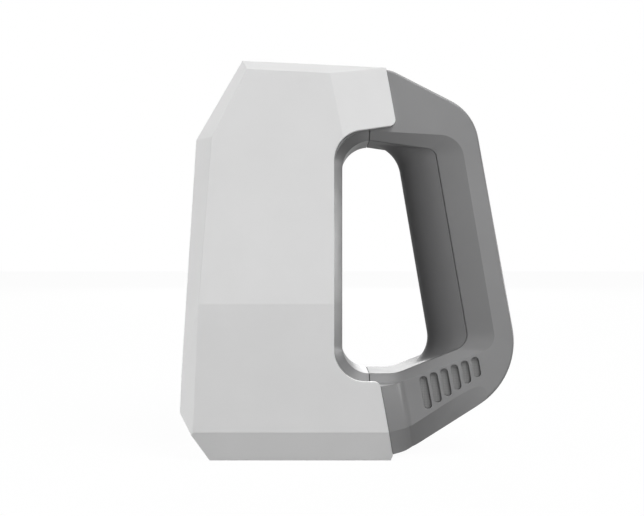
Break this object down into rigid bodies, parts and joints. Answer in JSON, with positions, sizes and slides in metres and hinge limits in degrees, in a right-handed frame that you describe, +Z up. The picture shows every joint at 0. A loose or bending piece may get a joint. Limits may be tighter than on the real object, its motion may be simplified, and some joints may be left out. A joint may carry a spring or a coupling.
{
  "type": "handheld 3d scanner",
  "caption": "Hand-held structured-light 3D scanner: faceted white optics housing on a grey D-shaped handle with a tilting rocker button, vent slots and cooling fan.",
  "frame": {"origin": "centre of the overall box's underside, in the plane of the flat base, under the plane of symmetry", "axes": "+Z up, along the housing's height; the optics look along -X and the handle stands at +X; +Y is to the right of the person who holds it and looks along the optics, and Y = 0 is its plane of symmetry"},
  "size_m": [0.1605, 0.064, 0.192],
  "materials": {
    "white_plastic": "fine-textured satin moulding",
    "grey_plastic": "fine-textured matt moulding",
    "grip_rubber": "soft matt grip",
    "black_plastic": "matt black moulding",
    "button_plastic": "satin",
    "window_glass": "polished, dark coated",
    "lens_glass": "polished, coated",
    "flash_lens": "clear moulded domes",
    "light_pipe": "frosted",
    "bench_metal": "machined",
    "barrel_metal": "black anodised",
    "circuit_board": "solder mask",
    "chip_plastic": "moulded",
    "filter_mat": "fine mesh",
    "socket_metal": "plated",
    "screw_steel": "plain"
  },
  "bodies": {
    "scanner": {"front_shell": "white_plastic", "front_bezel": "black_plastic", "projector_window": "window_glass", "texture_window": "window_glass", "geometry_window": "window_glass", "optical_bench": "bench_metal", "projector_barrel": "barrel_metal", "texture_barrel": "barrel_metal", "geometry_barrel": "barrel_metal", "projector_lens": "lens_glass", "texture_lens": "lens_glass", "geometry_lens": "lens_glass", "texture_camera_board": "circuit_board", "geometry_camera_board": "circuit_board", "flash_ring_board": "circuit_board", "flash_lights": "flash_lens", "projector_lamp_board": "circuit_board", "projector_heat_sink": "bench_metal", "loop_frame": "grey_plastic", "handle_shell": "grey_plastic", "grip_insert": "grip_rubber", "vent_filters": "filter_mat", "main_board": "circuit_board", "main_board_chips": "chip_plastic", "fan_frame": "black_plastic", "button_carrier": "black_plastic", "rocker_pin": "screw_steel", "button_board": "circuit_board", "button_switches": "chip_plastic", "status_lights": "light_pipe", "power_inlet": "chip_plastic", "data_socket": "socket_metal", "socket_board": "circuit_board", "handle_screws": "screw_steel", "bench_screws": "screw_steel", "main_board_screws": "screw_steel", "fan_screws": "screw_steel"},
    "rocker": {"rocker_button": "button_plastic"},
    "fan_wheel": {"fan_rotor": "black_plastic"}
  },
  "joints": [
    {"name": "rocker_tilt", "type": "hinge", "parent": "scanner", "child": "rocker", "pos_m": [0.03632, 0, 0.17423], "axis": [0, 1, 0], "range_deg": [-4, 4], "stiffness_Nm_per_rad": 0.08},
    {"name": "fan_spin", "type": "hinge", "parent": "scanner", "child": "fan_wheel", "pos_m": [-0.006, 0, 0.02], "axis": [1, 0, 0], "continuous": true}
  ]
}
